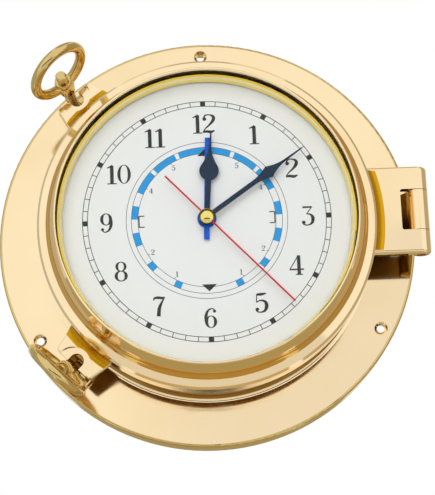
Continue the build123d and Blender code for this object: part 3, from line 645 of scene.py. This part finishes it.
def brass_finish(name, roughness, tone="brass", wave=0.0, cast=False, hollow=False, banded=False, raw=None):
    """Brass with a polish that varies, hair scratches and waves left by the buffing wheel.

    It can be cast, with a sandy hidden side and painted shade on its rim, amber painted shade in its
    hollows, the sleeve's painted reflection bands, or dark painted shade between two distances out of the
    wall.
    """
    finish, tree, shader, place = new_finish(name)
    if tree is None:
        return finish
    colours = bpy.context.scene.clock_colours
    # Painted reflections: tones that change up the sleeve
    if banded:
        colour = sleeve_bands(tree, place)
    elif tone == "brass":
        mellow = ranged(tree, noise(tree, place, MELLOW_SCALE), 0.0, 1.0)
        colour = blended(tree, mellow, colours.brass, colours.brass_deep)
    else:
        colour = getattr(colours, tone)
    polish = ranged(tree, noise(tree, place, POLISH_SCALE, detail=4.0), *roughness)
    scratches = noise(tree, place, HAIR_SCALE, detail=1.0, stretch=HAIR_STRETCH)
    relief = bumped(tree, scratches, HAIR_STRENGTH, HAIR_DEPTH)
    if wave:
        relief = bumped(tree, noise(tree, place, WAVE_SCALE, detail=0.0), wave, WAVE_DEPTH, relief)
    # Amber painted shade and duller polish in the fillets and the cove
    if hollow:
        fillet, cove = hollows(tree, place)
        hollow_shade = computed(tree, "MAXIMUM", fillet, computed(tree, "MULTIPLY", cove, COVE_SHARE))
        colour = blended(tree, hollow_shade, colour, colours.brass_amber)
        polish = dulled(tree, polish, fillet, FILLET_ROUGHNESS)
    # Dark painted shade and duller polish between two distances out of the wall
    if raw:
        painted_shade = between(tree, ring_place(tree, place)[1], *raw)
        colour = blended(tree, painted_shade, colour, colours.brass_raw)
        polish = dulled(tree, polish, painted_shade, SHADE_ROUGHNESS)
    if cast:
        # Painted shade on the rim: the dogs' deeper tone
        rim = computed(tree, "GREATER_THAN", ring_place(tree, place)[0], RIM_RADIUS)
        colour = blended(tree, rim, colour, colours.brass_dog)
        hidden = hidden_side(tree, place)
        polish = dulled(tree, polish, hidden, SAND_ROUGHNESS)
        sand = computed(tree, "MULTIPLY", noise(tree, place, SAND_SCALE, detail=3.0), hidden)
        relief = bumped(tree, sand, SAND_STRENGTH, SAND_DEPTH, relief)
    shader.inputs["Metallic"].default_value = 1.0
    feed(tree, shader.inputs["Base Color"], colour)
    tree.links.new(polish, shader.inputs["Roughness"])
    tree.links.new(relief, shader.inputs["Normal"])
    return finish


def dog_finish():
    """The brass of both dogs, in a deeper tone that paints shade on them."""
    return brass_finish("dog_brass", HANDLED, tone="brass_dog")


def painted_finish(name, colour, roughness, metallic=0.0, grain=0.0, grain_scale=400.0):
    """A plain coat of paint, ink, plastic or plating with a faint change of gloss and an optional grain."""
    finish, tree, shader, place = new_finish(name)
    if tree is None:
        return finish
    shader.inputs["Base Color"].default_value = colour
    shader.inputs["Metallic"].default_value = metallic
    shader.inputs["Specular IOR Level"].default_value = PAINT_SPECULAR
    spread = roughness * GLOSS_SPREAD
    gloss = ranged(tree, noise(tree, place, GLOSS_SCALE), roughness - spread, roughness + spread)
    tree.links.new(gloss, shader.inputs["Roughness"])
    if grain:
        coarse = noise(tree, place, grain_scale, detail=3.0)
        tree.links.new(bumped(tree, coarse, grain, GRAIN_DEPTH), shader.inputs["Normal"])
    return finish


def ink_finish():
    """The dark ink of the dial's lines and numerals."""
    return painted_finish("dial_ink", bpy.context.scene.clock_colours.ink, roughness=0.5)


def glass_finish():
    """Clear flat glass: see-through, with a mirror sheen that grows towards grazing."""
    finish, tree, shader, _ = new_finish("clear_glass")
    if tree is None:
        return finish
    shader.inputs["Base Color"].default_value = WHITE
    shader.inputs["Metallic"].default_value = 1.0
    shader.inputs["Roughness"].default_value = 0.02
    clear = tree.nodes.new("ShaderNodeBsdfTransparent")
    clear.inputs["Color"].default_value = GLASS_CLEAR
    sheen = tree.nodes.new("ShaderNodeFresnel")
    sheen.inputs["IOR"].default_value = SHEEN_IOR
    mix = tree.nodes.new("ShaderNodeMixShader")
    tree.links.new(sheen.outputs["Fac"], mix.inputs["Fac"])
    tree.links.new(clear.outputs["BSDF"], mix.inputs[1])
    tree.links.new(shader.outputs["BSDF"], mix.inputs[2])
    tree.links.new(mix.outputs["Shader"], tree.nodes["Material Output"].inputs["Surface"])
    return finish


def battery_finish():
    """A two-tone battery sleeve: dark along most of the cell, copper towards the nub end."""
    finish, tree, shader, place = new_finish("battery_jacket")
    if tree is None:
        return finish
    apart = tree.nodes.new("ShaderNodeSeparateXYZ")
    tree.links.new(place, apart.inputs["Vector"])
    copper = computed(tree, "GREATER_THAN", apart.outputs["X"], COPPER_START)
    colour = blended(tree, copper, PLASTIC_BLACK, JACKET_COPPER)
    tree.links.new(colour, shader.inputs["Base Color"])
    shader.inputs["Roughness"].default_value = 0.28
    shader.inputs["Metallic"].default_value = 0.3
    return finish


def node_finishes():
    """Which finish each carried-over node wears."""
    colours = bpy.context.scene.clock_colours
    polished = brass_finish("polished_brass", POLISHED)
    # The flange, door, lugs and knuckles take dark painted shade over their spans
    casting = brass_finish("flange_brass", POLISHED, wave=0.06, cast=True, raw=SHADE_COLLAR)
    door = brass_finish("bezel_brass", POLISHED, wave=0.05, hollow=True, raw=SHADE_DOOR)
    lug = brass_finish("lug_brass", POLISHED, wave=0.05, hollow=True, raw=SHADE_LUG)
    knuckle = brass_finish("knuckle_brass", POLISHED, raw=SHADE_KNUCKLE)
    # The sleeve's tones up its height are painted reflections
    sleeve = brass_finish("sleeve_brass", WIPED, banded=True)
    cap = brass_finish("cap_brass", WIPED, tone="sleeve")
    satin = brass_finish("satin_brass", SATIN)
    # The dogs wear a deeper tone that paints shade on them
    shaded_dogs = dog_finish()
    steel = painted_finish("screw_steel", STEEL_GREY, roughness=0.28, metallic=1.0)
    rubber = painted_finish("black_rubber", RUBBER_BLACK, roughness=0.7, grain=0.2)
    seal = painted_finish("brown_rubber", RUBBER_BROWN, roughness=0.7, grain=0.2)
    moulded = painted_finish(
        "movement_plastic", PLASTIC_BLACK, roughness=0.45, grain=0.35, grain_scale=900.0)
    enamel = painted_finish("dial_white", colours.dial, roughness=0.4, grain=0.03, grain_scale=1500.0)
    chosen = {
        "base_flange": casting, "hinge_bracket": knuckle,
        "bezel": door, "glass_sleeve": sleeve, "dial_cup": satin, "hand_cap": cap,
        "dial_plate": enamel, "dial_washer": rubber, "glass_gasket": seal,
        "movement_case": moulded, "movement_cover": moulded,
        "set_knob": painted_finish("knob_plastic", KNOB_GREY, roughness=0.4),
        "battery": battery_finish(),
        "bracket_screws": steel, "cup_screws": steel, "battery_contacts": steel,
        "tide_hand": painted_finish("tide_blue", colours.hand_blue, roughness=0.3),
        "hour_hand": painted_finish("hand_navy", colours.hand_navy, roughness=0.35),
        "minute_hand": painted_finish("hand_navy", colours.hand_navy, roughness=0.35),
        "second_hand": painted_finish("hand_red", colours.hand_red, roughness=0.3),
        "glass": glass_finish(),
    }
    for name in ("upper", "lower"):
        chosen[f"clamp_lug_{name}"] = lug
        for piece in ("ring_nut", "swing_bolt", "dog_pin", "dog_bracket"):
            chosen[f"{piece}_{name}"] = shaded_dogs
    return {name: chosen.get(name, polished) for name in frame["nodes"]}


class CLOCK_OT_finishes(bpy.types.Operator):
    """Put a procedural finish on every carried-over node"""

    bl_idname = "clock.finishes"
    bl_label = "Finish the castings"

    def execute(self, context):
        for name, finish in node_finishes().items():
            mesh = frame["nodes"][name].data
            mesh.materials.clear()
            mesh.materials.append(finish)
        return {"FINISHED"}


class CLOCK_OT_minute_track(bpy.types.Operator):
    """Print the minute track: two circles, a tick for each minute and a block for each five"""

    bl_idname = "clock.minute_track"
    bl_label = "Print the minute track"

    BLOCK_MINUTES = 5

    def execute(self, context):
        sizes = context.scene.dial_print
        low, high = DIAL_FRONT, DIAL_FRONT + sizes.film
        parts = [dial_arc(radius, sizes.line_half, 0, FULL_TURN, low, high)
                 for radius in (sizes.track_outer, sizes.track_inner)]
        for minute in range(MINUTES):
            half = sizes.tick_half if minute % self.BLOCK_MINUTES else sizes.square_half
            angle = FULL_TURN * minute / MINUTES
            spoke = (sizes.track_inner, sizes.track_outer, half, half, angle, low, high + STROKE_STEP)
            parts.append(dial_spoke(*spoke))
        make_piece("minute_track", parts, ink_finish(), "base")
        return {"FINISHED"}


class CLOCK_OT_hour_numerals(bpy.types.Operator):
    """Print the twelve hour numerals, upright round the dial"""

    bl_idname = "clock.hour_numerals"
    bl_label = "Print the hour numerals"

    def execute(self, context):
        sizes = context.scene.dial_print
        low, high = DIAL_FRONT, DIAL_FRONT + sizes.film
        parts = []
        for hour in range(1, HOURS + 1):
            middle = dial_point(sizes.numeral_radius, FULL_TURN * hour / HOURS)
            parts += numeral(str(hour), middle, sizes.numeral_height, low, high)
        make_piece("hour_numerals", parts, ink_finish(), "base")
        return {"FINISHED"}


class CLOCK_OT_tide_ring(bpy.types.Operator):
    """Print the tide ring: thin circles, ticks, pointers, brackets, blue blocks and small numerals"""

    bl_idname = "clock.tide_ring"
    bl_label = "Print the tide ring"

    # Where the blue blocks start and end, in degrees either side of twelve
    BLOCKS = ((24, 44), (47, 66), (77, 88), (99, 110), (126, 133), (152, 158))
    TOP_BLOCK = 21

    # Lines, ticks, pointers and brackets, in millimetres, the thin lines as a share of the track's
    THIN_SHARE = 0.7
    TICK_LENGTH = 0.9
    TICK_HALF = 0.14
    POINTER_LENGTH = 3.4
    POINTER_HALF = 3.6
    POINTER_TIP_HALF = 0.02
    POINTER_DROP = 1.2
    BRACKET_HALF = 2.75
    BRACKET_ARM = 2.6
    BRACKET_DROP = 0.5
    BRACKET_LINE = 0.27

    # Hours that have a tick, and small numerals, which count the hours up from six on both sides
    TICK_HOURS = (1, 2, 4, 5, 7, 8, 10, 11)
    NUMERALS = (1, 2, 4, 5)

    def execute(self, context):
        sizes = context.scene.dial_print
        low, high = DIAL_FRONT, DIAL_FRONT + sizes.film
        ink = ink_finish()
        blue = painted_finish("tide_block_blue", context.scene.clock_colours.tide_blue, roughness=0.5)
        lines = self.circles(sizes, low, high) + self.ticks(sizes, low, high)
        lines += self.pointers(sizes, low, high) + self.brackets(sizes, low, high)
        make_piece("tide_ring", lines, ink, "base")
        blocks = self.blocks(sizes, low, high - STROKE_STEP)
        make_piece("tide_blocks", blocks, blue, "base")
        make_piece("tide_numerals", self.numerals(sizes, low, high), ink, "base")
        return {"FINISHED"}

    def circles(self, sizes, low, high):
        """Three thin circles: one round the ring and one along each edge of the blocks."""
        thin = sizes.line_half * self.THIN_SHARE
        radii = (sizes.tide_outer, sizes.block_outer, sizes.block_inner)
        return [dial_arc(radius, thin, 0, FULL_TURN, low, high) for radius in radii]

    def ticks(self, sizes, low, high):
        """Short spokes inside the blocks."""
        foot = sizes.block_inner - self.TICK_LENGTH
        halves = (self.TICK_HALF, self.TICK_HALF)
        return [dial_spoke(foot, sizes.block_inner, *halves, FULL_TURN * hour / HOURS, low, high)
                for hour in self.TICK_HOURS]

    def pointers(self, sizes, low, high):
        """Two triangles that point outwards, at twelve and at six."""
        base = sizes.block_inner - self.POINTER_DROP
        tip = base + self.POINTER_LENGTH
        halves = (self.POINTER_HALF, self.POINTER_TIP_HALF)
        return [dial_spoke(base, tip, *halves, angle, low, high) for angle in (0.0, HALF_TURN)]

    def brackets(self, sizes, low, high):
        """A square bracket on each side, open towards the middle, one strip for each of its three lines."""
        strips = []
        half = self.BRACKET_HALF
        for side in (-1, 1):
            bar = side * (sizes.block_inner - self.BRACKET_DROP)
            arm = bar - side * self.BRACKET_ARM
            corners = [(arm, half), (bar, half), (bar, -half), (arm, -half)]
            strips += [ribbon(ends, self.BRACKET_LINE, low, high) for ends in zip(corners, corners[1:])]
        return strips

    def blocks(self, sizes, low, high):
        """Stretches of a wide circle: one over the top, and pairs that grow shorter down both sides."""
        middle = (sizes.block_outer + sizes.block_inner) / 2
        half = (sizes.block_outer - sizes.block_inner) / 2
        spans = [(-self.TOP_BLOCK, self.TOP_BLOCK)]
        spans += [(side * start, side * end) for start, end in self.BLOCKS for side in (-1, 1)]
        return [dial_arc(middle, half, *np.radians(sorted(span)), low, high) for span in spans]

    def numerals(self, sizes, low, high):
        """Small upright numerals inside the ring."""
        parts = []
        for count in self.NUMERALS:
            for side in (-1, 1):
                angle = side * (HALF_TURN - FULL_TURN * count / HOURS)
                middle = dial_point(sizes.tide_numeral_radius, angle)
                parts += numeral(str(count), middle, sizes.tide_numeral_height, low, high)
        return parts


class CLOCK_OT_bolt_threads(bpy.types.Operator):
    """Cut the thread on both swing bolts, below the ring nut and beyond it"""

    bl_idname = "clock.bolt_threads"
    bl_label = "Thread the swing bolts"

    def execute(self, context):
        sizes = context.scene.bolt_thread
        joints = {joint["name"]: joint for joint in frame["joints"]}
        for name in ("upper", "lower"):
            joint = joints[f"nut_{name}_turn"]
            pivot, axis = np.array(joint["pos_m"]), np.array(joint["axis"])
            foot = self.span(f"ring_nut_{name}", pivot, axis)[0]
            end = self.span(f"swing_bolt_{name}", pivot, axis)[1]
            runs = [
                (sizes.plain_length, foot - sizes.margin),
                (foot + sizes.hub_height + sizes.margin, end - sizes.margin),
            ]
            parts = [thread_ridge(pivot, axis, start, stop, sizes.shank_radius, sizes.crest, sizes.pitch)
                     for start, stop in runs]
            body = f"dog_{name}"
            make_piece(f"bolt_thread_{name}", parts, dog_finish(), body, smooth=True)
        return {"FINISHED"}

    @staticmethod
    def span(node, pivot, axis):
        """How far a node reaches along a dog, from its pivot, in mm."""
        mesh = frame["nodes"][node].data
        flat = np.empty(len(mesh.vertices) * 3)
        mesh.vertices.foreach_get("co", flat)
        along = (flat.reshape(-1, 3) - pivot) @ axis / MM
        return along.min(), along.max()


def aimed(place):
    """The place and turn of a camera or lamp that looks at the clock's middle."""
    place = Vector(place)
    return Matrix.Translation(place) @ (-place).to_track_quat("-Z", "Y").to_matrix().to_4x4()


class CLOCK_OT_stage(bpy.types.Operator):
    """Set the camera, the pale floor, the white surroundings and the soft light"""

    bl_idname = "clock.stage"
    bl_label = "Set the stage"

    # Reflector cards seen only in mirrors: azimuth from the clock's axis and height, in degrees, and colour
    CARDS = {
        "camera_card": ((-30, 30), (-23, -11), (0.03, 0.025, 0.02)),
        "left_card": ((-128, -62), (-50, 62), (0.54, 0.55, 0.54)),
        "right_card": ((62, 128), (-50, 62), (0.50, 0.44, 0.33)),
        "wall_card": ((128, 232), (-60, 0), (0.42, 0.34, 0.16)),
        "back_card": ((128, 232), (0, 70), (0.82, 0.76, 0.62)),
        "ceiling_card": ((-180, 180), (70, 89), (0.5, 0.45, 0.36)),
        "front_card": ((0, 16), (-2, 14), (0.89, 0.88, 0.89)),
        "front_card_edge": ((-2, 0), (-2, 14), (0.925, 0.92, 0.925)),
        "front_card_rim": ((-4, -2), (-2, 14), (0.96, 0.96, 0.96)),
        "floor_card": ((-62, 62), (-56, -22), (0.80, 0.78, 0.76)),
        "under_card": ((-180, 180), (-89, -56), (0.55, 0.44, 0.25)),
    }
    CARD_DISTANCE = 1.6
    CARD_COLUMNS = 25
    CARD_ROWS = 13

    # The floor's half side in metres, its colour and how much it shines where the camera sees it
    FLOOR_HALF = 3.0
    FLOOR_TONE = (0.86, 0.86, 0.86, 1.0)
    FLOOR_GLOW = 0.5

    def execute(self, context):
        stage = context.scene.studio_stage
        self.place_camera(context.scene, stage)
        self.light_world(context.scene, stage)
        self.lay_floor(stage)
        self.hang_lamp(stage)
        self.hang_cards()
        context.scene.view_settings.view_transform = "Standard"
        return {"FINISHED"}

    @staticmethod
    def card_finish(name, colour):
        """An even glow of one colour."""
        finish = bpy.data.materials.new(name)
        finish.use_nodes = True
        tree = finish.node_tree
        glow = tree.nodes.new("ShaderNodeEmission")
        glow.inputs["Color"].default_value = (*colour, 1.0)
        tree.links.new(glow.outputs["Emission"], tree.nodes["Material Output"].inputs["Surface"])
        return finish

    def hang_cards(self):
        """Patches of a sphere: azimuth a and height e give the place (cos e sin a, -cos e cos a, sin e)."""
        rows, columns = self.CARD_ROWS, self.CARD_COLUMNS
        corner = (np.arange(rows - 1)[:, None] * columns + np.arange(columns - 1)).ravel()
        quads = np.stack([corner, corner + 1, corner + columns + 1, corner + columns], axis=1)
        for name, (azimuths, heights, colour) in self.CARDS.items():
            azimuth, height = np.meshgrid(
                np.radians(np.linspace(*azimuths, columns)), np.radians(np.linspace(*heights, rows)))
            level = np.cos(height)
            sphere = np.stack([level * np.sin(azimuth), -level * np.cos(azimuth), np.sin(height)], axis=-1)
            mesh = bpy.data.meshes.new(name)
            mesh.from_pydata((sphere.reshape(-1, 3) * self.CARD_DISTANCE).tolist(), [], quads.tolist())
            mesh.materials.append(self.card_finish(name, colour))
            card = bpy.data.objects.new(name, mesh)
            card.visible_camera = False
            card.visible_diffuse = False
            card.visible_transmission = False
            card.visible_shadow = False
            bpy.context.collection.objects.link(card)

    @staticmethod
    def place_camera(scene, stage):
        """Aim the camera at the origin, then turn it about its own line of sight."""
        data = bpy.data.cameras.new("camera")
        data.lens = stage.lens
        data.shift_x, data.shift_y = stage.shift
        data.clip_start = 0.01
        camera = bpy.data.objects.new("camera", data)
        camera.matrix_world = aimed(stage.camera_place) @ Matrix.Rotation(-stage.camera_roll, 4, "Z")
        bpy.context.collection.objects.link(camera)
        scene.camera = camera

    @staticmethod
    def light_world(scene, stage):
        """White to the camera, to mirrors and through glass, and a plain level of light elsewhere."""
        world = bpy.data.worlds.new("studio")
        world.use_nodes = True
        scene.world = world
        tree = world.node_tree
        level = computed(tree, "MAXIMUM", seen_rays(tree), stage.sky_light)
        backdrop = tree.nodes["Background"]
        backdrop.inputs["Color"].default_value = WHITE
        tree.links.new(level, backdrop.inputs["Strength"])

    def lay_floor(self, stage):
        """A wide pale floor far below the clock."""
        half = self.FLOOR_HALF
        corners = [(-half, -half), (half, -half), (half, half), (-half, half)]
        mesh = bpy.data.meshes.new("floor")
        mesh.from_pydata([(x, y, -stage.floor_drop) for x, y in corners], [], [(0, 1, 2, 3)])
        finish = bpy.data.materials.new("pale_floor")
        finish.use_nodes = True
        tree = finish.node_tree
        shader = tree.nodes["Principled BSDF"]
        shader.inputs["Base Color"].default_value = self.FLOOR_TONE
        shader.inputs["Roughness"].default_value = 0.9
        shader.inputs["Emission Color"].default_value = WHITE
        glow = computed(tree, "MULTIPLY", seen_rays(tree), self.FLOOR_GLOW)
        tree.links.new(glow, shader.inputs["Emission Strength"])
        mesh.materials.append(finish)
        floor = bpy.data.objects.new("floor", mesh)
        bpy.context.collection.objects.link(floor)

    @staticmethod
    def hang_lamp(stage):
        """One big soft lamp in front of the clock, a little above it and to its left."""
        data = bpy.data.lights.new("key", "AREA")
        data.energy = stage.lamp_power
        data.size = stage.lamp_size
        lamp = bpy.data.objects.new("key", data)
        lamp.matrix_world = aimed(stage.lamp_place)
        lamp.visible_glossy = False
        bpy.context.collection.objects.link(lamp)


class CLOCK_PT_panel(bpy.types.Panel):
    """The clock's sizes, colours and steps."""

    bl_label = "Tide Clock"
    bl_idname = "CLOCK_PT_panel"
    bl_space_type = "VIEW_3D"
    bl_region_type = "UI"
    bl_category = "Tide Clock"

    def draw(self, context):
        for group, name in GROUPS.items():
            box = self.layout.box()
            for key in group.bl_rna.properties.keys():
                if key not in ("rna_type", "name"):
                    box.prop(getattr(context.scene, name), key)
        for step in STEPS:
            self.layout.operator(step.bl_idname)


GROUPS = {
    DialPrint: "dial_print",
    BoltThread: "bolt_thread",
    ClockColours: "clock_colours",
    StudioStage: "studio_stage",
}
STEPS = (
    CLOCK_OT_finishes,
    CLOCK_OT_minute_track,
    CLOCK_OT_hour_numerals,
    CLOCK_OT_tide_ring,
    CLOCK_OT_bolt_threads,
    CLOCK_OT_stage,
)


def register():
    """Register the property groups, the steps and the panel."""
    for group, name in GROUPS.items():
        bpy.utils.register_class(group)
        setattr(bpy.types.Scene, name, PointerProperty(type=group))
    for kind in (*STEPS, CLOCK_PT_panel):
        bpy.utils.register_class(kind)


def unregister():
    """Take everything out again."""
    for kind in (CLOCK_PT_panel, *reversed(STEPS)):
        bpy.utils.unregister_class(kind)
    for group, name in GROUPS.items():
        delattr(bpy.types.Scene, name)
        bpy.utils.unregister_class(group)


def main():
    """Build the clock's looks step by step."""
    register()
    bpy.ops.clock.finishes()
    bpy.ops.clock.minute_track()
    bpy.ops.clock.hour_numerals()
    bpy.ops.clock.tide_ring()
    bpy.ops.clock.bolt_threads()
    bpy.ops.clock.stage()


if __name__ == "__main__":
    main()
